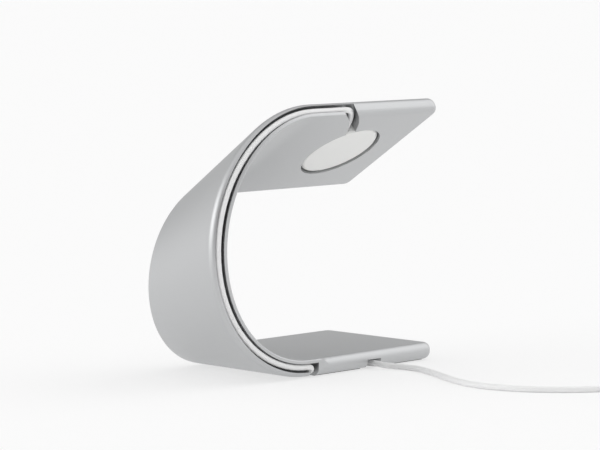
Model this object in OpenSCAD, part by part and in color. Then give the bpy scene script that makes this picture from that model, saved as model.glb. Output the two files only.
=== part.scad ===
// A watch charging dock. One thick strip of aluminium makes a flat base, a
// conical bend and a tilted arm. A round charger sits in a hole in the arm, and
// its cable runs in a groove round the edge of the bend and out under the base.

/* [Plate] */
// Width of the flat base, across the strip
base_w = 50; // [46:1:60]
// Length of the flat base, from the bend to its front edge
base_len = 61; // [50:1:80]
// Length of the arm, from the bend to its front edge
arm_len = 61; // [54:1:80]
// Width of the arm, measured down its slope
arm_w = 52; // [46:1:60]
// Slope of the arm, from the cable side down to the far side, in degrees
arm_tilt = 33; // [27:1:38]
// Outside radius of the bend on the cable side
bend_r = 45; // [38:1:55]
// Thickness of the plate
plate_t = 5.7; // [5.6:0.1:7]
// Rounding of the edges of the outer face
soft_edge_r = 2.6; // [1.8:0.1:2.8]
// Rounding of the edges of the inner face
inner_edge_r = 2.4; // [1.2:0.1:2.6]
// Rounding of the inner edge beside the groove
lip_edge_r = 0.4; // [0.2:0.1:0.8]
// Radius of the front corners, seen from above
corner_r = 3.5; // [3:0.5:6]

/* [Cable] */
// Diameter of the cable
cable_d = 2; // [1.8:0.1:2.2]
// Clearance on each side of the cable in its groove
groove_gap = 0.45; // [0.3:0.05:0.5]
// How far the cable leans to the groove's inner wall, as a share of that clearance
cable_lean = 0.5; // [0:0.1:0.8]
// Thickness of the lip outside the groove
outer_lip = 1.55; // [1.2:0.05:1.7]
// How far the cable lies below the side face
cable_sink = 0.15; // [0:0.05:0.3]

/* [Slot in the arm] */
// Clearance on each side of the cable in the curved slot
slot_gap = 0.8; // [0.6:0.05:1]
// Radius of the slot's curve
slot_r = 40; // [34:1:50]
// Radius of the cable where the slot leaves the groove
slot_turn_r = 7; // [5:0.5:9]
// Direction of the cable where it leaves the charger, in degrees from straight across
exit_angle = 27; // [20:1:32]

/* [Underside of the base] */
// Clearance on each side of the cable in its channel
channel_gap = 0.35; // [0.2:0.05:0.5]
// Distance from the bend to the place where the cable goes under
entry_x = 2; // [1.9:0.05:3]
// Length of the cable's turn where it goes under the base
entry_r = 2.2; // [2:0.1:2.6]
// Clearance on each side of the cable in the notch
notch_gap = 0.65; // [0.5:0.05:0.8]
// How far the notch's middle lies in front of the cable
notch_shift = 0.25; // [0:0.05:0.4]
// Distance from the bend to the middle of the mouth where the cable comes out
exit_x = 30.8; // [26:0.2:34]
// How much wider the mouth is than its channel, on each side
mouth_flare = 2.2; // [1:0.1:3]
// Depth of the mouth's flare, measured in from the side face
mouth_len = 6; // [3:0.5:8]
// How far the channel reaches in from the side face
loop_y = 16; // [13:0.5:20]
// Radius of the channel's corners
loop_r = 6; // [4:0.5:8]
// Thickness of the pads
pad_t = 1; // [0.8:0.1:1.5]
// How far the pads stand below the plate
pad_proud = 0.3; // [0.2:0.05:0.5]
// Width of metal between the pads and the edges of the base
pad_margin = 3; // [2:0.5:5]
// Width of metal between the pads and the channel
pad_rib = 1.5; // [1:0.1:2.5]
// Clearance round each pad in its recess
pad_gap = 0.1; // [0.05:0.05:0.2]

/* [Charger] */
// Diameter of the charger
puck_d = 28; // [26:0.5:30]
// Height of the charger over all
puck_h = 7.6; // [7.2:0.1:9]
// Distance from the bend to the middle of the charger
puck_x = 34; // [31:0.5:37]
// How far the charger's back lies above the underside of the arm
puck_sink = 0.4; // [0.2:0.1:0.8]
// Clearance round the charger where the arm holds it
seat_gap = 0.12; // [0.05:0.01:0.3]
// Height of the part of the hole that holds the charger
seat_h = 3.4; // [2.5:0.1:4]
// Gap round the charger's back
back_gap = 0.5; // [0.3:0.05:0.8]
// Rounding of the charger's back edge
back_edge_r = 1.2; // [0.6:0.1:1.6]
// Wall of the charger's back shell
shell_wall = 1.1; // [0.9:0.1:1.4]
// Floor of the charger's back shell
shell_floor = 1.2; // [1:0.1:1.5]
// Height of the front's rim, above the back shell
front_h = 1.6; // [1.5:0.1:2]
// Depth of the front's spigot inside the back shell
spigot_h = 1.2; // [0.8:0.1:1.5]
// Clearance round the front's spigot
spigot_gap = 0.05; // [0.03:0.01:0.15]
// Rounding of the front's outer edge
front_rim_r = 0.8; // [0.4:0.1:1]
// Diameter of the hollow in the front
dish_d = 24.4; // [22:0.2:25]
// Radius of the sphere that the hollow is part of
dish_r = 70; // [60:1:90]

/* [Inside the charger] */
// Outer diameter of the magnet
magnet_d = 10; // [8:0.5:11]
// Wall of the steel cup round the magnet
yoke_wall = 0.5; // [0.4:0.1:0.7]
// Clearance between the magnet and its cup
magnet_gap = 0.05; // [0.02:0.01:0.1]
// Thickness of the circuit board
board_t = 0.8; // [0.6:0.1:1]
// Height of the chips on the board
chip_h = 0.7; // [0.5:0.1:0.8]
// Thickness of the wound coil
winding_t = 1.1; // [0.8:0.1:1.2]
// Thickness of the ferrite sheet
ferrite_t = 0.5; // [0.3:0.1:0.6]
// Clearance round the pieces inside the charger
inner_gap = 0.4; // [0.2:0.05:0.6]
// Wall of the sleeve round the cable
sleeve_wall = 0.3; // [0.2:0.05:0.35]

/* [Plug] */
// Width of the plug's grip
grip_w = 14.8; // [14:0.1:17]
// Length of the plug's grip
grip_len = 18; // [14:0.5:24]
// Corner radius of the plug's grip
grip_corner_r = 2.4; // [1:0.1:3]
// Length of the plug's strain relief
boot_len = 9; // [6:0.5:14]
// Width of the metal shell
shell_w = 12; // [11.9:0.1:12.1]
// Height of the metal shell
shell_h = 4.5; // [4.4:0.1:4.6]
// How far the metal shell stands out of the grip
shell_out = 12; // [11:0.1:12.5]
// Thickness of the metal shell
shell_t = 0.3; // [0.25:0.05:0.4]
// Thickness of the tongue inside the shell
tongue_t = 1.84; // [1.7:0.02:1.95]

/* [Hidden] */

$fn = 64;
large_fn = 180;
eps = 0.01;

// How far cuts run on beyond the piece, and the clearance between glued pieces
over = 1;
glue_gap = 0.1;

// The strip is drawn with x along it, measured from where the bend starts, and y
// across it from the cable side. In the plate's section u runs across the strip
// from the cable side and v runs from the outer face to the inner face.
stand_h = 2 * bend_r;
apex_y = stand_h / tan(arm_tilt);
mid_x = (base_len - bend_r) / 2;
mid_y = (base_w - plate_t * sin(arm_tilt)) / 2;

// The groove's section
cable_r = cable_d / 2;
groove_w = cable_d + 2 * groove_gap;
groove_depth = cable_sink + cable_d + 2 * groove_gap;
groove_high = outer_lip + groove_w;
cable_u = cable_sink + cable_r;
groove_v = outer_lip + groove_w / 2;
cable_v = groove_v + cable_lean * groove_gap;

// The curved slot, in the plane of the arm. Towards the charger the cable comes
// closer to the slot's roof.
roof_gap = 0.15;
slot_v = outer_lip + roof_gap + cable_r;
puck_r = puck_d / 2;
puck_u = arm_w / 2;
slot_w = cable_d + 2 * slot_gap;
exit_way = -[sin(exit_angle), cos(exit_angle)];
slot_start = [puck_x, puck_u] + (puck_r + seat_gap) * exit_way;
slot_mid = slot_start + slot_r * [-cos(exit_angle), sin(exit_angle)];
turn_u = cable_u + slot_turn_r;
turn_x = slot_mid.x + sqrt(pow(slot_r - slot_turn_r, 2) - pow(slot_mid.y - turn_u, 2));
turn_to = atan2(turn_x - slot_mid.x, slot_mid.y - turn_u);
groove_run = 2.8;
arm_groove_len = turn_x + groove_run;

// The channel under the base
notch_w = cable_d + 2 * notch_gap;
channel_w = cable_d + 2 * channel_gap;
channel_h = cable_d + 2 * groove_gap;
channel_v = channel_h / 2;
notch_x = entry_x + notch_shift;
base_groove_len = notch_x + notch_w / 2;
pocket_y = cable_u + 3 * entry_r;

// Beyond the notch a cutter rounds the inner edge. It runs in along an arc.
cutter_r = 4;
round_from = base_groove_len + sqrt(pow(cutter_r + inner_edge_r, 2) - pow(cutter_r, 2));

// Heights inside the charger, from its back
back_h = puck_h - front_h;
front_low = back_h - spigot_h;
inner_r = puck_r - shell_wall;
winding_z = front_low - winding_t;
ferrite_z = winding_z - ferrite_t;
yoke_r = magnet_d / 2 + magnet_gap + yoke_wall;
part_in_r = yoke_r + inner_gap;
sleeve_r = cable_r + sleeve_wall;
cable_z = plate_t - puck_sink - slot_v;
sleeve_in = 0.3;
sleeve_from = inner_r - sleeve_in;
dish_rise = sqrt(dish_r * dish_r - dish_d * dish_d / 4);

// The loose cord lies on the table. The first point is where it leaves the base.
cord_start = [exit_x - mid_x, -mid_y, pad_proud + channel_v];
cord_on_table = [
    [23, -27, 1.5],
    [25, -30, 1.2],
    [27, -34, 1],
    [27, -39, 1],
    [25, -45, 1],
    [22, -52, 1],
    [18, -60, 1],
    [15, -67, 1],
    [13, -76, 1],
    [14, -85, 1],
    [17, -93, 1],
    [22, -100, 1],
    [28, -106, 1],
    [35, -111, 1],
    [41, -115, 1],
    [45, -118, 1]
];
cord_straight = [0, 1.5, 0];
cord_route = concat([cord_start, cord_start - cord_straight], cord_on_table);
cord_end = cord_route[len(cord_route) - 1];
cord_end_way = unit(cord_end - cord_route[len(cord_route) - 2]);

// The coil of spare cord: five turns side by side, two high
coil_wide = 5;
coil_high = 2;
coil_mid_r = 11;
coil_in_r = coil_mid_r - coil_wide * cable_d / 2;
coil_out_r = coil_mid_r + coil_wide * cable_d / 2;
coil_h = coil_high * cable_d;
coil_turn_r = coil_out_r - cable_r;
coil_stub = 6.5;
tail_turn = -17;
tail_len = 14;
tail_z = coil_h - cable_r;
tie_w = 5;
tie_t = 0.6;
tie_at = 190;
// The tie is flat, so it crosses the coil's round inside a little further in
tie_in_r = sqrt(coil_in_r * coil_in_r - tie_w * tie_w / 4) - glue_gap;

// The plug lies beside the coil, as thick as keeps its cable level with the tail
grip_h = 2 * tail_z;
boot_wall = [0.5, 1.2];
shell_in = 5;
window_w = 2.2;
window_at = 5.2;
window_mid = 3;
tongue_back = 0.4;
contact_w = 1;
contact_t = 0.25;
contact_len = 8;
contact_from = 1;
contact_x = [-3.5, -1, 1, 3.5];

// Vectors and curves

function unit(v) = v / norm(v);
function lerp(a, b, t) = a + (b - a) * t;
function ease(t) = let (s = min(1, max(0, t))) s * s * (3 - 2 * s);
function arc(mid, r, from, to, steps) = [
    for (k = [0:steps])
        let (a = lerp(from, to, k / steps)) mid + r * [cos(a), sin(a)]
];
function bezier(p, t) = let (s = 1 - t)
    s * s * s * p[0] + 3 * s * s * t * p[1] + 3 * s * t * t * p[2] + t * t * t * p[3];
function turned_round(list) = [list[0], for (k = [len(list) - 1:-1:1]) list[k]];

// The bend is part of an oblique cone. Its rulings run from a half circle on the
// cable side to one apex, so the half circle's top end is high and the arm slopes.

function near_edge(a) = [-bend_r * sin(a), 0, bend_r * (1 - cos(a))];
function ruling(a) = unit([0, apex_y, 0] - near_edge(a));
function inward(a) = unit(cross(ruling(a), [-cos(a), 0, sin(a)]));
function on_bend(a, u, v) = near_edge(a) + u * ruling(a) + v * inward(a);
function on_arm(x, u, v) = [
    x,
    u * cos(arm_tilt) - v * sin(arm_tilt),
    stand_h - u * sin(arm_tilt) - v * cos(arm_tilt)
];
function strip_w(a) = lerp(base_w, arm_w, (1 - cos(a)) / 2);

// The plate's section

edge_steps = 5;
soft_from = asin(max(0, 1 - outer_lip / soft_edge_r));
groove_mid = [groove_depth - groove_w / 2, groove_v];
near_corner = arc([lip_edge_r, plate_t - lip_edge_r], lip_edge_r, 90, 180, 2);
groove_upper = concat([[0, groove_high]], arc(groove_mid, groove_w / 2, 90, 0, 5));
groove_lower = arc(groove_mid, groove_w / 2, -18, -90, 4);
soft_arc = arc([soft_edge_r, soft_edge_r], soft_edge_r, 180 + soft_from, 270, edge_steps);
face_arc = arc([soft_edge_r, soft_edge_r], soft_edge_r, 180, 180 + soft_from - 1, 2);
inner_arc = arc([inner_edge_r, plate_t - inner_edge_r], inner_edge_r, 90, 180, edge_steps);
edge_points = concat(inner_arc, face_arc, soft_arc);
function far_corners(w) = [
    for (k = [len(edge_points) - 1:-1:0]) [w - edge_points[k].x, edge_points[k].y]
];

function section(w, grooved) = concat(
    far_corners(w),
    near_corner,
    grooved ? concat(groove_upper, groove_lower) : face_arc,
    soft_arc
);

// Tubes swept along a list of points, each with a direction that points across it

function way(path, i) = unit(path[min(i + 1, len(path) - 1)][0] - path[max(i - 1, 0)][0]);
function ring(path, i, r, sides) =
    let (t = way(path, i), s = unit(cross(t, path[i][1])), q = cross(s, t))
    [for (k = [0:sides - 1]) path[i][0] + r * (cos(360 * k / sides) * s + sin(360 * k / sides) * q)];

module tube(path, r, sides = 8) {
    rings = len(path);
    points = [for (i = [0:rings - 1]) each ring(path, i, r, sides)];
    walls = [
        for (i = [0:rings - 2], k = [0:sides - 1])
            let (a = i * sides + k, b = i * sides + (k + 1) % sides)
            each [[a, b, b + sides], [a, b + sides, a + sides]]
    ];
    ends = [
        [for (k = [sides - 1:-1:0]) k],
        [for (k = [0:sides - 1]) (rings - 1) * sides + k]
    ];
    polyhedron(points, concat(walls, ends), convexity = 8);
}

// Frames that pieces are placed in

module in_dock() {
    translate([-mid_x, -mid_y, pad_proud]) children();
}

module in_arm() {
    in_dock() translate([0, 0, stand_h]) rotate([-arm_tilt, 0, 0]) children();
}

module in_puck() {
    in_arm() translate([puck_x, puck_u, puck_sink - plate_t]) children();
}

module toward_cable() {
    rotate([0, 0, -90 - exit_angle]) rotate([0, 90, 0]) children();
}

module in_coil() {
    translate([cord_end.x, cord_end.y, 0])
        rotate([0, 0, atan2(cord_end_way.x, -cord_end_way.y)])
            translate([-coil_turn_r, -coil_stub, 0]) children();
}

module in_plug() {
    in_coil() rotate([0, 0, tail_turn])
        translate([coil_turn_r, -tail_len, tail_z]) rotate([90, 0, 0]) children();
}

// The stand: one bent plate

bend_steps = 60;

module bend() {
    count = len(section(base_w, true));
    points = [
        for (i = [0:bend_steps])
            let (a = 180 * i / bend_steps)
            for (p = section(strip_w(a), true)) on_bend(a, p.x, p.y)
    ];
    walls = [
        for (i = [0:bend_steps - 1], k = [0:count - 1])
            let (a = i * count + k, b = i * count + (k + 1) % count)
            each [[a, b, b + count], [a, b + count, a + count]]
    ];
    far = len(far_corners(base_w));
    split = far - 3;
    groove_floor = far + len(near_corner) + len(groove_upper) - 1;
    last = bend_steps * count;
    upper = [for (k = [split:groove_floor]) k];
    lower = concat([for (k = [0:split]) k], [for (k = [groove_floor:count - 1]) k]);
    ends = [
        turned_round(upper),
        turned_round(lower),
        [for (k = upper) last + k],
        [for (k = lower) last + k]
    ];
    polyhedron(points, concat(walls, ends), convexity = 8);
}

// Profile of an edge: the outer face lies on y = 0 and the edge is at x = 0
module edge_profile(depth) {
    polygon(concat(edge_points, [[depth, 0], [depth, plate_t]]));
}

// What the cutter takes off the edge of the inner face
module edge_waste(reach) {
    low = plate_t - inner_edge_r;
    high = plate_t + over;
    polygon(concat(inner_arc, [[-reach, low], [-reach, high], [inner_edge_r, high]]));
}

module along_strip(from, to) {
    translate([from, 0, 0]) rotate([90, 0, 90]) linear_extrude(to - from) children();
}

module grooved_strip(to, w) {
    along_strip(0, to) polygon(section(w, true));
}

// The plain front part of a strip, rounded on three sides
module front_part(from, length, w) {
    straight = length - corner_r;
    translate([from, corner_r, 0]) cube([straight - from, w - 2 * corner_r, plate_t]);
    along_strip(from, straight) edge_profile(corner_r);
    translate([0, w, 0]) mirror([0, 1, 0]) along_strip(from, straight) edge_profile(corner_r);
    translate([length, corner_r, 0]) rotate([0, 0, 90])
        along_strip(0, w - 2 * corner_r) edge_profile(corner_r);
    for (y = [corner_r, w - corner_r])
        translate([straight, y, 0]) rotate_extrude()
            translate([corner_r, 0]) mirror([1, 0]) edge_profile(corner_r);
}

module channel_plan(w) {
    legs_y = loop_y - loop_r;
    for (x = [entry_x, exit_x])
        translate([x - w / 2, -over]) square([w, legs_y + over]);
    translate([entry_x + loop_r, loop_y - w / 2])
        square([exit_x - entry_x - 2 * loop_r, w]);
    for (side = [0, 1])
        translate([side == 0 ? entry_x + loop_r : exit_x - loop_r, legs_y])
            intersection() {
                difference() {
                    circle(loop_r + w / 2);
                    circle(loop_r - w / 2);
                }
                translate([side == 0 ? -2 * loop_r : 0, 0]) square([2 * loop_r, 2 * loop_r]);
            }
    polygon([
        [exit_x - w / 2 - mouth_flare, -over],
        [exit_x + w / 2 + mouth_flare, -over],
        [exit_x + w / 2, mouth_len],
        [exit_x - w / 2, mouth_len]
    ]);
}

module pad_plan(grow) {
    difference() {
        translate([pad_margin - grow, pad_margin - grow])
            square([base_len - 2 * pad_margin + 2 * grow, base_w - 2 * pad_margin + 2 * grow]);
        channel_plan(channel_w + 2 * pad_rib - 2 * grow);
    }
}

module base_plate() {
    difference() {
        union() {
            grooved_strip(base_groove_len, base_w);
            difference() {
                along_strip(base_groove_len, round_from) polygon(section(base_w, false));
                translate([round_from, -cutter_r, 0]) rotate_extrude()
                    translate([cutter_r, 0]) edge_waste(cutter_r);
            }
            front_part(round_from, base_len, base_w);
        }
        translate([0, 0, -over]) linear_extrude(channel_h + over) channel_plan(channel_w);
        translate([notch_x - notch_w / 2, -over, -over])
            cube([notch_w, pocket_y + over, groove_high + over]);
        translate([0, 0, -over]) linear_extrude(pad_t - pad_proud + over) pad_plan(pad_gap);
    }
}

module slot_plan() {
    intersection() {
        translate(slot_mid) difference() {
            circle(slot_r + slot_w / 2, $fn = large_fn);
            circle(slot_r - slot_w / 2, $fn = large_fn);
        }
        translate([0, -over]) square([puck_x, slot_start.y + 2 * over]);
    }
}

module arm_plate() {
    difference() {
        mirror([0, 0, 1]) {
            grooved_strip(arm_groove_len, arm_w);
            front_part(arm_groove_len, arm_len, arm_w);
        }
        translate([puck_x, puck_u, -plate_t - over])
            cylinder(r = puck_r + seat_gap, h = plate_t + 2 * over);
        translate([puck_x, puck_u, -plate_t - over])
            cylinder(r = puck_r + back_gap, h = plate_t - seat_h + over);
        translate([0, 0, -plate_t - over])
            linear_extrude(plate_t - outer_lip + over) slot_plan();
    }
}

module stand_body() {
    color("silver") {
        in_dock() {
            bend();
            base_plate();
        }
        in_arm() arm_plate();
    }
}

module base_pads() {
    color("dimgray") in_dock()
        translate([0, 0, -pad_proud]) linear_extrude(pad_t) pad_plan(0);
}

// The charger

module puck_back_shell() {
    color("white") in_puck() difference() {
        rotate_extrude() difference() {
            union() {
                square([puck_r - back_edge_r, back_h]);
                translate([0, back_edge_r]) square([puck_r, back_h - back_edge_r]);
                translate([puck_r - back_edge_r, back_edge_r]) circle(back_edge_r);
            }
            translate([-over, shell_floor]) square([inner_r + over, back_h]);
        }
        translate([0, 0, cable_z]) toward_cable()
            translate([0, 0, sleeve_from]) cylinder(r = sleeve_r, h = puck_r);
    }
}

module puck_front_dish() {
    color("white") in_puck() difference() {
        rotate_extrude() {
            translate([0, front_low]) square([inner_r - spigot_gap, spigot_h + eps]);
            translate([0, back_h]) square([puck_r - front_rim_r, front_h]);
            translate([0, back_h]) square([puck_r, front_h - front_rim_r]);
            translate([puck_r - front_rim_r, puck_h - front_rim_r]) circle(front_rim_r);
        }
        translate([0, 0, puck_h + dish_rise]) sphere(dish_r, $fn = large_fn);
    }
}

module flat_ring(r_in, r_out, h) {
    difference() {
        cylinder(r = r_out, h = h);
        translate([0, 0, -over]) cylinder(r = r_in, h = h + 2 * over);
    }
}

module charging_coil() {
    color("peru") in_puck() translate([0, 0, winding_z])
        flat_ring(part_in_r + inner_gap, inner_r - 2 * inner_gap, winding_t);
}

module coil_ferrite() {
    color("dimgray") in_puck() translate([0, 0, ferrite_z])
        flat_ring(part_in_r, inner_r - inner_gap, ferrite_t);
}

module centre_magnet() {
    color("lightgray") in_puck() translate([0, 0, shell_floor + yoke_wall])
        cylinder(d = magnet_d, h = front_low - shell_floor - yoke_wall - glue_gap);
}

module magnet_yoke() {
    color("gray") in_puck() translate([0, 0, shell_floor]) difference() {
        cylinder(r = yoke_r, h = front_low - shell_floor - glue_gap);
        translate([0, 0, yoke_wall]) cylinder(r = yoke_r - yoke_wall, h = puck_h);
    }
}

module puck_circuit_board() {
    color("darkgreen") in_puck() translate([0, 0, shell_floor])
        flat_ring(part_in_r, sleeve_from - inner_gap, board_t);
}

module board_chips() {
    chip_r = (part_in_r + sleeve_from - inner_gap) / 2;
    sizes = [[2.6, 2.6], [1.6, 3.2], [2, 2], [1.6, 1.2], [2.4, 1.8], [1.2, 1.6]];
    color("black") in_puck() translate([0, 0, shell_floor + board_t])
        for (k = [0:len(sizes) - 1])
            rotate([0, 0, k * 360 / len(sizes)])
                translate([chip_r - sizes[k].x / 2, -sizes[k].y / 2, 0])
                    cube([sizes[k].x, sizes[k].y, chip_h]);
}

module puck_cable_sleeve() {
    color("white") in_puck() translate([0, 0, cable_z]) toward_cable()
        translate([0, 0, sleeve_from]) difference() {
            cylinder(r = sleeve_r, h = puck_r - sleeve_from);
            translate([0, 0, -over]) cylinder(r = cable_r + eps, h = puck_r);
        }
}

// The cable that the stand holds, from the charger to the mouth under the base

bend_stations = 36;
turn_steps = 5;
under_steps = 8;
cable_in_shell = 0.2;
arm_up = -inward(180);
cable_from_puck = concat(
    [[puck_x, puck_u] + (sleeve_from + cable_in_shell) * exit_way],
    arc(slot_mid, slot_r, -exit_angle, turn_to - 90, turn_steps),
    [for (k = [1:turn_steps]) let (a = lerp(turn_to, 0, k / turn_steps))
        [turn_x, turn_u] + slot_turn_r * [sin(a), -cos(a)]],
    [[turn_x / 2, cable_u]]
);
function arm_v(x) = lerp(slot_v, cable_v, ease((slot_start.x - x) / (slot_start.x - turn_x)));
cable_round_bend = [
    for (k = [0:bend_stations - 1])
        let (a = 180 * (1 - k / bend_stations))
        [on_bend(a, cable_u, cable_v), -inward(a)]
];
turn_under = [
    [entry_x - entry_r, cable_u, cable_v],
    [entry_x, cable_u, cable_v],
    [entry_x, cable_u, channel_v],
    [entry_x, cable_u + entry_r, channel_v]
];
near_mouth = 2;
cable_under_base = concat(
    [for (k = [0:under_steps]) bezier(turn_under, k / under_steps)],
    [for (p = arc([entry_x + loop_r, loop_y - loop_r], loop_r, 180, 90, turn_steps))
        [p.x, p.y, channel_v]],
    [for (p = arc([exit_x - loop_r, loop_y - loop_r], loop_r, 90, 0, turn_steps))
        [p.x, p.y, channel_v]],
    [[exit_x, near_mouth, channel_v], [exit_x, 0, channel_v]]
);
cable_path = concat(
    [for (p = cable_from_puck) [on_arm(p.x, p.y, arm_v(p.x)), arm_up]],
    cable_round_bend,
    [for (p = cable_under_base) [p, [0, 0, -1]]]
);

module cable_in_groove() {
    color("white") in_dock() tube(cable_path, cable_r);
}

// The loose cord

module cord_lead() {
    color("white") tube([for (p = cord_route) [p, [0, 0, -1]]], cable_r);
}

module cord_coil() {
    color("white") in_coil() difference() {
        union() {
            rotate_extrude() translate([coil_in_r, 0])
                square([coil_out_r - coil_in_r, coil_h]);
            translate([coil_turn_r, 0, cable_r]) rotate([-90, 0, 0])
                cylinder(r = cable_r, h = coil_stub);
            rotate([0, 0, tail_turn]) translate([coil_turn_r, 0, tail_z])
                rotate([90, 0, 0]) cylinder(r = cable_r, h = tail_len);
        }
        rotate([0, 0, tie_at]) translate([tie_in_r - over, -tie_w / 2, -over])
            cube([coil_out_r - tie_in_r + 2 * over, tie_w, over + tie_t]);
    }
}

module cord_tie() {
    color("white") in_coil() rotate([0, 0, tie_at]) translate([0, -tie_w / 2, 0]) difference() {
        translate([tie_in_r - tie_t, 0, 0])
            cube([coil_out_r - tie_in_r + 2 * tie_t, tie_w, coil_h + tie_t]);
        rotate([-90, 0, 0]) translate([0, 0, -over]) linear_extrude(tie_w + 2 * over)
            translate([tie_in_r, -coil_h]) square([coil_out_r - tie_in_r, coil_h - tie_t]);
    }
}

module rounded_plan(w, h, r) {
    square([w - 2 * r, h], center = true);
    square([w, h - 2 * r], center = true);
    for (x = [-1, 1], y = [-1, 1])
        translate([x * (w / 2 - r), y * (h / 2 - r)]) circle(r);
}

module plug_strain_relief() {
    color("white") in_plug()
        cylinder(r1 = cable_r + boot_wall[0], r2 = cable_r + boot_wall[1],
        h = boot_len);
}

module plug_grip() {
    color("white") in_plug() translate([0, 0, boot_len]) difference() {
        linear_extrude(grip_len) rounded_plan(grip_w, grip_h, grip_corner_r);
        translate([0, 0, grip_len - shell_in]) linear_extrude(shell_in + over)
            square([shell_w, shell_h], center = true);
    }
}

module plug_shell() {
    length = shell_in + shell_out;
    color("lightgray") in_plug() translate([0, 0, boot_len + grip_len - shell_in]) difference() {
        translate([-shell_w / 2, -shell_h / 2, 0]) cube([shell_w, shell_h, length]);
        translate([-shell_w / 2 + shell_t, -shell_h / 2 + shell_t, shell_t])
            cube([shell_w - 2 * shell_t, shell_h - 2 * shell_t, length]);
        for (x = [-1, 1])
            translate([x * window_mid - window_w / 2, -shell_h, shell_in + window_at])
                cube([window_w, 2 * shell_h, window_w]);
    }
}

module plug_tongue() {
    color("white") in_plug() translate([0, 0, boot_len + grip_len - shell_in + shell_t])
        translate([-shell_w / 2 + shell_t, shell_h / 2 - shell_t - tongue_t, 0])
            cube([shell_w - 2 * shell_t, tongue_t, shell_in + shell_out - 2 * shell_t - tongue_back]);
}

module plug_contacts() {
    low = shell_h / 2 - shell_t - tongue_t - contact_t;
    color("gold") in_plug() translate([0, 0, boot_len + grip_len + contact_from])
        for (x = contact_x)
            translate([x - contact_w / 2, low, 0]) cube([contact_w, contact_t, contact_len]);
}

stand_body();
base_pads();
puck_back_shell();
puck_front_dish();
charging_coil();
coil_ferrite();
centre_magnet();
magnet_yoke();
puck_circuit_board();
board_chips();
puck_cable_sleeve();
cable_in_groove();
cord_lead();
cord_coil();
cord_tie();
plug_strain_relief();
plug_grip();
plug_shell();
plug_tongue();
plug_contacts();
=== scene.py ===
import math

import bmesh
import bpy
from bpy.props import FloatProperty, FloatVectorProperty, PointerProperty
from mathutils import Matrix, Vector


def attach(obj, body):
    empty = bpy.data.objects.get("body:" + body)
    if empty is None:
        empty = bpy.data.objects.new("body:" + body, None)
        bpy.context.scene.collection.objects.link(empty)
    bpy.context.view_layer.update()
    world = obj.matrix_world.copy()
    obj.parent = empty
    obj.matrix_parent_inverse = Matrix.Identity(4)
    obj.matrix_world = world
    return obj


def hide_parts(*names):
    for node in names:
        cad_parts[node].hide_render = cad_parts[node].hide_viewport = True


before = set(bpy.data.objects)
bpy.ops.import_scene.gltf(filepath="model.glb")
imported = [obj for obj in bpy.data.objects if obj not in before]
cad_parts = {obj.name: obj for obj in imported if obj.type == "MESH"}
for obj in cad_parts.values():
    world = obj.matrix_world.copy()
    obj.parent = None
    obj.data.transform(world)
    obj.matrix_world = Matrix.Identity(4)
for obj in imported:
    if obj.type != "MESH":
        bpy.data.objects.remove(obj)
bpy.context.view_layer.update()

bl_info = {
    "name": "Watch charging dock",
    "version": (1, 0, 0),
    "blender": (4, 5, 0),
    "location": "View3D > Sidebar > Dock",
    "description": "Dresses the bent aluminium watch stand, its charger and its cable",
    "category": "Object",
}

MM = 0.001

# Edges that turn by more than this stay crisp, and all others are shaded round.
CRISP = math.radians(50)

# The way from the object to the camera, level with the floor
CAMERA_SIDE = (-0.72, -0.69, 0.0)
# The opposite way, a little above the floor
FAR_SIDE = (0.72, 0.69, 0.35)

# X and z of the middle of the bend's near edge
BEND_MIDDLE = (-0.008, 0.0453)

# Turns of spare cord side by side in one layer
COIL_WIDE = 5
# Straight cord before the coil's first turn, and after its last
COIL_STUB = 6.5 * MM
COIL_TAIL = 14 * MM
# How far past the last whole turn the tail leaves the coil, in degrees
TAIL_TURN = 17.0
# Degrees of turn from one point of the coil's line to the next
COIL_STEP = 15.0
# Degrees that a turn takes to move over to the next place
MOVE_OVER = 70
# Where in a turn that starts, in degrees: on the lower layer, at the climb, on the upper layer
MOVE_STARTS = (260, 235, 210)

# Height of the blast pits as a share of their width
PIT_DEPTH = 0.012

# The camera fitted to the photograph: place in metres, turn and downward tilt in degrees, lens in mm
CAMERA_PLACE = (-0.6668, -0.6537, 0.13485)
CAMERA_YAW = -46.05
CAMERA_TILT = 5.306
CAMERA_LENS = 169.2

# The floor's radius in metres, large enough to reach the horizon
FLOOR_RADIUS = 40.0

# Lamps: where their light comes from, and how wide the soft box fills the view, in degrees
KEY_LAMP = ((0.75, -0.3, 0.6), 60)
SIDE_LAMP = ((-0.85, 0.45, 0.15), 60)
TOP_LAMP = ((0.1, 0.0, 1.0), 90)

# The loose cord's route up to its coil, as in the part's source, in metres
CORD_ROUTE = [
    (0.0228, -0.023448, 0.00175),
    (0.0228, -0.024948, 0.00175),
    (0.023, -0.027, 0.0015),
    (0.025, -0.03, 0.0012),
    (0.027, -0.034, 0.001),
    (0.027, -0.039, 0.001),
    (0.025, -0.045, 0.001),
    (0.022, -0.052, 0.001),
    (0.018, -0.06, 0.001),
    (0.015, -0.067, 0.001),
    (0.013, -0.076, 0.001),
    (0.014, -0.085, 0.001),
    (0.017, -0.093, 0.001),
    (0.022, -0.1, 0.001),
    (0.028, -0.106, 0.001),
    (0.035, -0.111, 0.001),
    (0.041, -0.115, 0.001),
    (0.045, -0.118, 0.001),
]


def linear(code):
    """A colour written as sRGB hex, as linear red, green and blue."""
    parts = [int(code[i : i + 2], 16) / 255 for i in (1, 3, 5)]
    return tuple(c / 12.92 if c <= 0.04045 else ((c + 0.055) / 1.055) ** 2.4 for c in parts)


def add(tree, kind, settings=None, links=None):
    """Adds a node to a material or world, with its settings and the sockets that feed it."""
    node = tree.nodes.new(kind)
    for name, value in (settings or {}).items():
        if name in node.inputs:
            node.inputs[name].default_value = value
        else:
            setattr(node, name, value)
    for name, source in (links or {}).items():
        tree.links.new(source, node.inputs[name])
    return node


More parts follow.
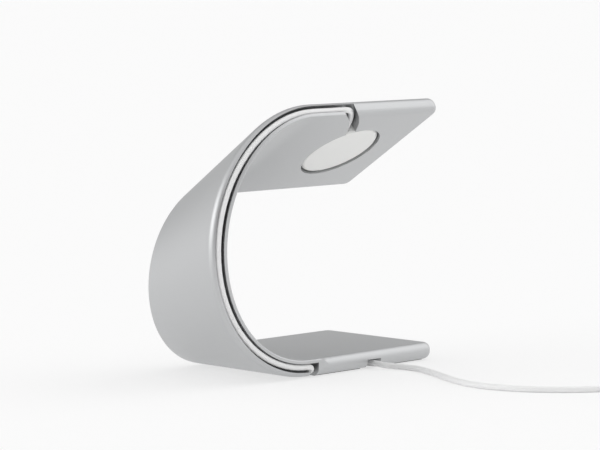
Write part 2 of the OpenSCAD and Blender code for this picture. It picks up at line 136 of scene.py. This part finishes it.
def surface(name, colour, **shader):
    """A new material with one plain shader. Returns the material, its tree and the shader."""
    material = bpy.data.materials.new(name)
    material.use_nodes = True
    tree = material.node_tree
    tree.nodes.clear()
    settings = {"Base Color": (*colour, 1.0)}
    settings.update({key.replace("_", " "): value for key, value in shader.items()})
    main = add(tree, "ShaderNodeBsdfPrincipled", settings)
    add(tree, "ShaderNodeOutputMaterial", links={"Surface": main.outputs["BSDF"]})
    return material, tree, main


def grain(tree, main, size, height):
    """Fine bumps all over, of that size and height in metres."""
    place = add(tree, "ShaderNodeTexCoord")
    spots = add(
        tree,
        "ShaderNodeTexNoise",
        {"Scale": 1 / size, "Detail": 2.0, "Roughness": 0.6},
        {"Vector": place.outputs["Object"]},
    )
    bump = add(
        tree,
        "ShaderNodeBump",
        {"Strength": 1.0, "Distance": height},
        {"Height": spots.outputs["Fac"]},
    )
    tree.links.new(bump.outputs["Normal"], main.inputs["Normal"])


def bead_blasted_aluminium(settings):
    # Clear-anodised aluminium, bead blasted: a pale silver that shines softly with no streaks.
    # Real blast pits are about 0.05 mm; they are drawn coarser so that they show.
    material, tree, main = surface(
        "bead_blasted_aluminium", settings.metal, Metallic=1.0, Roughness=settings.metal_roughness
    )
    grain(tree, main, settings.pit_size, settings.pit_size * PIT_DEPTH)
    return material


def moulded_white(name, colour, roughness):
    # Polycarbonate from a polished or spark-eroded mould: clean white with a soft gloss.
    return surface(name, colour, Roughness=roughness, IOR=1.58)[0]


def cable_jacket(settings):
    # Thermoplastic elastomer, extruded: white, slightly soft to light, with a satin sheen.
    return surface("white_elastomer_jacket", settings.jacket, Roughness=0.42, IOR=1.5)[0]


def silicone_pad(settings):
    # Die-cut silicone sheet: dark grey and matt, with a faint tooth.
    material, tree, main = surface("grey_silicone", settings.pad, Roughness=0.75, IOR=1.43)
    grain(tree, main, 0.5 * MM, 0.01 * MM)
    return material


def enamelled_copper():
    # Copper wire in clear enamel, wound flat: bright orange metal.
    return surface("enamelled_copper", linear("#C77B4E"), Metallic=1.0, Roughness=0.3)[0]


def plain_metal(name, code, roughness):
    # Plated or rolled sheet: bright and even.
    return surface(name, linear(code), Metallic=1.0, Roughness=roughness)[0]


def plain_plastic(name, code, roughness):
    # Solder mask, moulded epoxy or pressed ferrite: a flat colour with little gloss.
    return surface(name, linear(code), Roughness=roughness, IOR=1.5)[0]


def finished(node, material):
    """A copy of a CAD node with its triangles joined and its curves shaded round, in that material."""
    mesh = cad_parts[node].data.copy()
    work = bmesh.new()
    work.from_mesh(mesh)
    bmesh.ops.remove_doubles(work, verts=work.verts, dist=0.001 * MM)
    for face in work.faces:
        face.smooth = True
        face.material_index = 0
    for edge in work.edges:
        edge.smooth = edge.calc_face_angle(0.0) < CRISP
    work.to_mesh(mesh)
    work.free()
    mesh.materials.clear()
    mesh.materials.append(material)
    piece = bpy.data.objects.new(node + "_finish", mesh)
    bpy.context.scene.collection.objects.link(piece)
    even = piece.modifiers.new("even_shading", "WEIGHTED_NORMAL")
    even.keep_sharp = True
    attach(piece, "root")
    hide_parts(node)
    return piece


def lift_in_bend(piece, lift):
    """Moves a piece in the groove towards its outer lip, by that distance at the bend's mid-height."""
    for vert in piece.data.vertices:
        out = Vector((vert.co.x - BEND_MIDDLE[0], 0, vert.co.z - BEND_MIDDLE[1])).normalized()
        if out.x < 0:
            vert.co += out * lift * ease(out.x**2)


def ease(t):
    """From 0 to 1, slow at both ends."""
    t = min(1.0, max(0.0, t))
    return t * t * (3 - 2 * t)


def coil_points(cord):
    """The spare cord's turns and its tail, about the coil's middle, from where the lead reaches them.

    The turns lie five wide on the table and five back on top. Each turn moves over by one place
    just before it comes round, the outer ones on top first, so that no turn lies in another.
    """
    first = cord.turn_radius + (COIL_WIDE - 1) / 2 * cord.diameter
    places = [(first - k * cord.diameter, cord.diameter / 2) for k in range(COIL_WIDE)]
    places += [(r, 1.5 * cord.diameter) for r, _ in reversed(places)]
    turns = len(places) - 1
    points = []
    for step in range(int(turns * 360 / COIL_STEP) + 2):
        way = min(step * COIL_STEP, turns * 360.0 + TAIL_TURN)
        k = min(int(way // 360), turns)
        start = MOVE_STARTS[0 if k < COIL_WIDE - 1 else 1 if k == COIL_WIDE - 1 else 2]
        share = ease((way - 360 * k - start) / MOVE_OVER)
        r, z = places[k]
        if k < turns:
            r += share * (places[k + 1][0] - r)
            z += share * (places[k + 1][1] - z)
        angle = -math.radians(way)
        points.append(Vector((r * math.cos(angle), r * math.sin(angle), z)))
    angle = -math.radians(TAIL_TURN)
    onward = Vector((math.sin(angle), -math.cos(angle), 0))
    points += [points[-1] + onward * COIL_TAIL * k / 3 for k in (1, 2, 3)]
    return first, points


def cord_line(cord):
    """The whole loose cord's line, from the base to the plug."""
    lead = [Vector(p) for p in CORD_ROUTE]
    onward = (lead[-1] - lead[-2]).normalized()
    first, turns = coil_points(cord)
    meet = lead[-1] + onward * COIL_STUB
    turn = Matrix.Rotation(math.atan2(onward.x, -onward.y), 4, "Z")
    middle = meet - turn @ Vector((first, 0, 0))
    middle.z = 0
    return lead + [middle + turn @ p for p in turns]


class StandSettings(bpy.types.PropertyGroup):
    metal: FloatVectorProperty(
        name="Metal",
        description="Colour of the anodised aluminium",
        subtype="COLOR",
        default=linear("#C3C4C5"),
    )
    metal_roughness: FloatProperty(
        name="Metal roughness",
        description="How matt the blasted metal is",
        default=0.45,
        min=0.2,
        max=0.8,
        subtype="FACTOR",
    )
    pit_size: FloatProperty(
        name="Pit size",
        description="Size of the blast pits as drawn",
        default=0.3 * MM,
        min=0.05 * MM,
        max=1 * MM,
        subtype="DISTANCE",
        unit="LENGTH",
    )
    pad: FloatVectorProperty(
        name="Pads",
        description="Colour of the pads under the base",
        subtype="COLOR",
        default=linear("#4A4C4E"),
    )


class ChargerSettings(bpy.types.PropertyGroup):
    front: FloatVectorProperty(
        name="Front",
        description="Colour of the charger's front",
        subtype="COLOR",
        default=linear("#F1F1EF"),
    )
    back: FloatVectorProperty(
        name="Back",
        description="Colour of the charger's back and the plug's grip",
        subtype="COLOR",
        default=linear("#F4F4F2"),
    )


class CordSettings(bpy.types.PropertyGroup):
    jacket: FloatVectorProperty(
        name="Jacket",
        description="Colour of the cable",
        subtype="COLOR",
        default=linear("#FAFAFA"),
    )
    diameter: FloatProperty(
        name="Diameter",
        description="Diameter of the cable",
        default=2 * MM,
        min=1.8 * MM,
        max=2.2 * MM,
        subtype="DISTANCE",
        unit="LENGTH",
    )
    lift: FloatProperty(
        name="Cable lift",
        description="How much nearer the outer lip the cable lies at mid-height of the bend",
        default=0.5 * MM,
        min=0.0,
        max=0.6 * MM,
        subtype="DISTANCE",
        unit="LENGTH",
    )
    turn_radius: FloatProperty(
        name="Turn radius",
        description="Radius at the middle of the spare cord's turns",
        default=11 * MM,
        min=10 * MM,
        max=13 * MM,
        subtype="DISTANCE",
        unit="LENGTH",
    )


class StageSettings(bpy.types.PropertyGroup):
    floor: FloatVectorProperty(
        name="Floor",
        description="Colour of the floor",
        subtype="COLOR",
        default=linear("#FCFCFC"),
    )
    paleness: FloatProperty(
        name="Floor paleness",
        description="Share of plain white in the floor where it is seen",
        default=0.6,
        min=0.0,
        max=1.0,
        subtype="FACTOR",
    )
    room: FloatProperty(
        name="Room light",
        description="Level of the pale room round the object",
        default=1.0,
        min=0.0,
        max=1.0,
    )
    key: FloatProperty(
        name="Key light",
        description="Strength of the wide light above the cable side",
        default=0.5,
        min=0.0,
        max=5.0,
    )
    top: FloatProperty(
        name="Top light",
        description="Strength of the wide light overhead",
        default=0.45,
        min=0.0,
        max=5.0,
    )
    side: FloatProperty(
        name="Side light",
        description="Strength of the wide light beside the bend",
        default=1.1,
        min=0.0,
        max=5.0,
    )


class DOCK_OT_stand(bpy.types.Operator):
    """Finishes the bent plate and its pads"""

    bl_idname = "dock.stand"
    bl_label = "Stand"

    def execute(self, context):
        settings = context.scene.dock_stand
        finished("stand_body", bead_blasted_aluminium(settings))
        finished("base_pads", silicone_pad(settings))
        return {"FINISHED"}


class DOCK_OT_charger(bpy.types.Operator):
    """Finishes the charger's case and what is in it"""

    bl_idname = "dock.charger"
    bl_label = "Charger"

    def execute(self, context):
        settings = context.scene.dock_charger
        finished("puck_back_shell", moulded_white("satin_polycarbonate", settings.back, 0.35))
        finished("puck_front_dish", moulded_white("gloss_polycarbonate", settings.front, 0.12))
        finished("charging_coil", enamelled_copper())
        finished("coil_ferrite", plain_plastic("pressed_ferrite", "#3A3B3D", 0.6))
        finished("centre_magnet", plain_metal("nickel_plate", "#D6D2C8", 0.15))
        finished("magnet_yoke", plain_metal("pressed_steel", "#B9BBBD", 0.3))
        finished("puck_circuit_board", plain_plastic("green_solder_mask", "#1F5B3A", 0.3))
        finished("board_chips", plain_plastic("moulded_epoxy", "#1B1B1D", 0.5))
        return {"FINISHED"}


class DOCK_OT_cable(bpy.types.Operator):
    """Finishes the cable that the stand holds, with its sleeve"""

    bl_idname = "dock.cable"
    bl_label = "Cable in the groove"

    def execute(self, context):
        settings = context.scene.dock_cord
        jacket = cable_jacket(settings)
        lift_in_bend(finished("cable_in_groove", jacket), settings.lift)
        finished("puck_cable_sleeve", jacket)
        return {"FINISHED"}


class DOCK_OT_plug(bpy.types.Operator):
    """Finishes the plug, its strain relief and the coil's tie"""

    bl_idname = "dock.plug"
    bl_label = "Plug"

    def execute(self, context):
        case = moulded_white("satin_plug_case", context.scene.dock_charger.back, 0.35)
        finished("plug_strain_relief", bpy.data.materials["white_elastomer_jacket"])
        finished("plug_grip", case)
        finished("plug_shell", plain_metal("stainless_sheet", "#C4C5C7", 0.22))
        finished("plug_tongue", case)
        finished("plug_contacts", plain_metal("gold_plate", "#E2B55C", 0.2))
        finished("cord_tie", bpy.data.materials["white_elastomer_jacket"])
        return {"FINISHED"}


class DOCK_OT_cord(bpy.types.Operator):
    """Lays the loose cord on the table and winds up what is left of it"""

    bl_idname = "dock.cord"
    bl_label = "Loose cord"

    def execute(self, context):
        settings = context.scene.dock_cord
        points = cord_line(settings)
        curve = bpy.data.curves.new("loose_cord", "CURVE")
        curve.dimensions = "3D"
        curve.resolution_u = 4
        curve.bevel_depth = settings.diameter / 2
        curve.bevel_resolution = 4
        curve.use_fill_caps = True
        line = curve.splines.new("BEZIER")
        line.bezier_points.add(len(points) - 1)
        for spot, point in zip(line.bezier_points, points):
            spot.co = point
            spot.handle_left_type = spot.handle_right_type = "AUTO"
        curve.materials.append(bpy.data.materials["white_elastomer_jacket"])
        piece = bpy.data.objects.new("loose_cord", curve)
        context.scene.collection.objects.link(piece)
        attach(piece, "root")
        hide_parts("cord_lead", "cord_coil")
        return {"FINISHED"}


def wide_light(name, toward, width, strength):
    """Even light from far away, as from a large soft box that fills that angle of the view."""
    lamp = bpy.data.lights.new(name, "SUN")
    lamp.angle = math.radians(width)
    lamp.energy = strength
    light = bpy.data.objects.new(name, lamp)
    light.matrix_world = Vector(toward).to_track_quat("Z", "Y").to_matrix().to_4x4()
    bpy.context.scene.collection.objects.link(light)
    return light


def toward_share(tree, direction, way, start, full):
    """From 0 where a direction points away from that way, to 1 where it is close to it."""
    dot = add(tree, "ShaderNodeVectorMath", {"operation": "DOT_PRODUCT"})
    dot.inputs[1].default_value = Vector(way).normalized()
    tree.links.new(direction, dot.inputs[0])
    return add(
        tree,
        "ShaderNodeMapRange",
        {"interpolation_type": "SMOOTHSTEP", "From Min": start, "From Max": full},
        {"Value": dot.outputs["Value"]},
    ).outputs["Result"]


def scaled(tree, source, factor, extra=0.0):
    """The source times a factor, plus an extra."""
    node = add(tree, "ShaderNodeMath", {"operation": "MULTIPLY_ADD"})
    tree.links.new(source, node.inputs[0])
    node.inputs[1].default_value = factor
    node.inputs[2].default_value = extra
    return node.outputs[0]


def seen(tree, *kinds):
    """1 for rays of these kinds, and 0 for the others."""
    ray = add(tree, "ShaderNodeLightPath")
    total = ray.outputs["Is %s Ray" % kinds[0]]
    for kind in kinds[1:]:
        node = add(tree, "ShaderNodeMath", {"operation": "MAXIMUM"})
        tree.links.new(total, node.inputs[0])
        tree.links.new(ray.outputs["Is %s Ray" % kind], node.inputs[1])
        total = node.outputs[0]
    return total


def white_board(settings):
    # Matt white-painted board. Where it is seen, or mirrored in metal, part of it is plain white,
    # so that the object's shadow on it stays light.
    material, tree, main = surface("white_board", settings.floor, Roughness=0.9)
    end = next(node for node in tree.nodes if node.type == "OUTPUT_MATERIAL")
    white = add(tree, "ShaderNodeEmission", {"Color": (1.0, 1.0, 1.0, 1.0), "Strength": 1.0})
    share = scaled(tree, seen(tree, "Camera", "Glossy", "Transmission"), settings.paleness)
    mix = add(tree, "ShaderNodeMixShader", links={"Fac": share})
    tree.links.new(main.outputs["BSDF"], mix.inputs[1])
    tree.links.new(white.outputs[0], mix.inputs[2])
    tree.links.new(mix.outputs[0], end.inputs["Surface"])
    return material


def pale_room(settings):
    """A room that the camera sees as white, darker behind the camera and at the ceiling."""
    world = bpy.data.worlds.new("pale_room")
    bpy.context.scene.world = world
    world.use_nodes = True
    tree = world.node_tree
    tree.nodes.clear()
    direction = add(tree, "ShaderNodeTexCoord").outputs["Generated"]
    level = scaled(tree, toward_share(tree, direction, (0, 0, 1), 0.1, 0.8), -0.35, 1.0)
    for way, start, full, drop in (
        (CAMERA_SIDE, 0.55, 0.97, 0.85),
        (FAR_SIDE, 0.5, 0.95, 0.35),
    ):
        left = scaled(tree, toward_share(tree, direction, way, start, full), -drop, 1.0)
        node = add(tree, "ShaderNodeMath", {"operation": "MULTIPLY"})
        tree.links.new(level, node.inputs[0])
        tree.links.new(left, node.inputs[1])
        level = node.outputs[0]
    level = scaled(tree, level, settings.room)
    room = add(tree, "ShaderNodeBackground", {"Color": (1.0, 1.0, 1.0, 1.0)}, {"Strength": level})
    white = add(tree, "ShaderNodeBackground", {"Color": (1.0, 1.0, 1.0, 1.0), "Strength": 1.0})
    mix = add(tree, "ShaderNodeMixShader", links={"Fac": seen(tree, "Camera", "Transmission")})
    tree.links.new(room.outputs[0], mix.inputs[1])
    tree.links.new(white.outputs[0], mix.inputs[2])
    add(tree, "ShaderNodeOutputWorld", links={"Surface": mix.outputs[0]})


class DOCK_OT_stage(bpy.types.Operator):
    """Sets the floor, the lights, the background and the camera"""

    bl_idname = "dock.stage"
    bl_label = "Stage"

    def execute(self, context):
        scene = context.scene
        settings = scene.dock_stage

        # The floor reaches the horizon
        plate = bmesh.new()
        bmesh.ops.create_circle(plate, cap_ends=True, segments=96, radius=FLOOR_RADIUS)
        mesh = bpy.data.meshes.new("floor")
        plate.to_mesh(mesh)
        plate.free()
        mesh.materials.append(white_board(settings))
        floor = bpy.data.objects.new("floor", mesh)
        scene.collection.objects.link(floor)

        pale_room(settings)
        key = wide_light("key_light", *KEY_LAMP, settings.key)
        side = wide_light("side_light", *SIDE_LAMP, settings.side)
        top = wide_light("top_light", *TOP_LAMP, settings.top)

        camera = bpy.data.objects.new("camera", bpy.data.cameras.new("camera"))
        camera.data.sensor_width = 36
        camera.data.lens = CAMERA_LENS
        camera.data.clip_end = 1.25 * FLOOR_RADIUS
        yaw = math.radians(CAMERA_YAW)
        pitch = math.radians(CAMERA_TILT)
        way = Vector(
            (-math.sin(yaw) * math.cos(pitch), math.cos(yaw) * math.cos(pitch), -math.sin(pitch))
        )
        camera.matrix_world = (
            Matrix.Translation(CAMERA_PLACE)
            @ way.to_track_quat("-Z", "Y").to_matrix().to_4x4()
        )
        scene.collection.objects.link(camera)
        scene.camera = camera
        scene.view_settings.view_transform = "Standard"
        return {"FINISHED"}


STEPS = (
    DOCK_OT_stand,
    DOCK_OT_charger,
    DOCK_OT_cable,
    DOCK_OT_plug,
    DOCK_OT_cord,
    DOCK_OT_stage,
)
GROUPS = {
    "dock_stand": StandSettings,
    "dock_charger": ChargerSettings,
    "dock_cord": CordSettings,
    "dock_stage": StageSettings,
}


class DOCK_PT_panel(bpy.types.Panel):
    bl_label = "Watch charging dock"
    bl_idname = "DOCK_PT_panel"
    bl_space_type = "VIEW_3D"
    bl_region_type = "UI"
    bl_category = "Dock"

    def draw(self, context):
        layout = self.layout
        for name, group in GROUPS.items():
            box = layout.box()
            for key in group.__annotations__:
                box.prop(getattr(context.scene, name), key)
        for step in STEPS:
            layout.operator(step.bl_idname)


def register():
    for name, group in GROUPS.items():
        bpy.utils.register_class(group)
        setattr(bpy.types.Scene, name, PointerProperty(type=group))
    for step in STEPS:
        bpy.utils.register_class(step)
    bpy.utils.register_class(DOCK_PT_panel)


def unregister():
    bpy.utils.unregister_class(DOCK_PT_panel)
    for step in reversed(STEPS):
        bpy.utils.unregister_class(step)
    for name, group in reversed(list(GROUPS.items())):
        delattr(bpy.types.Scene, name)
        bpy.utils.unregister_class(group)


def main():
    register()
    bpy.ops.dock.stand()
    bpy.ops.dock.charger()
    bpy.ops.dock.cable()
    bpy.ops.dock.plug()
    bpy.ops.dock.cord()
    bpy.ops.dock.stage()
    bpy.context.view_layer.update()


if __name__ == "__main__":
    main()
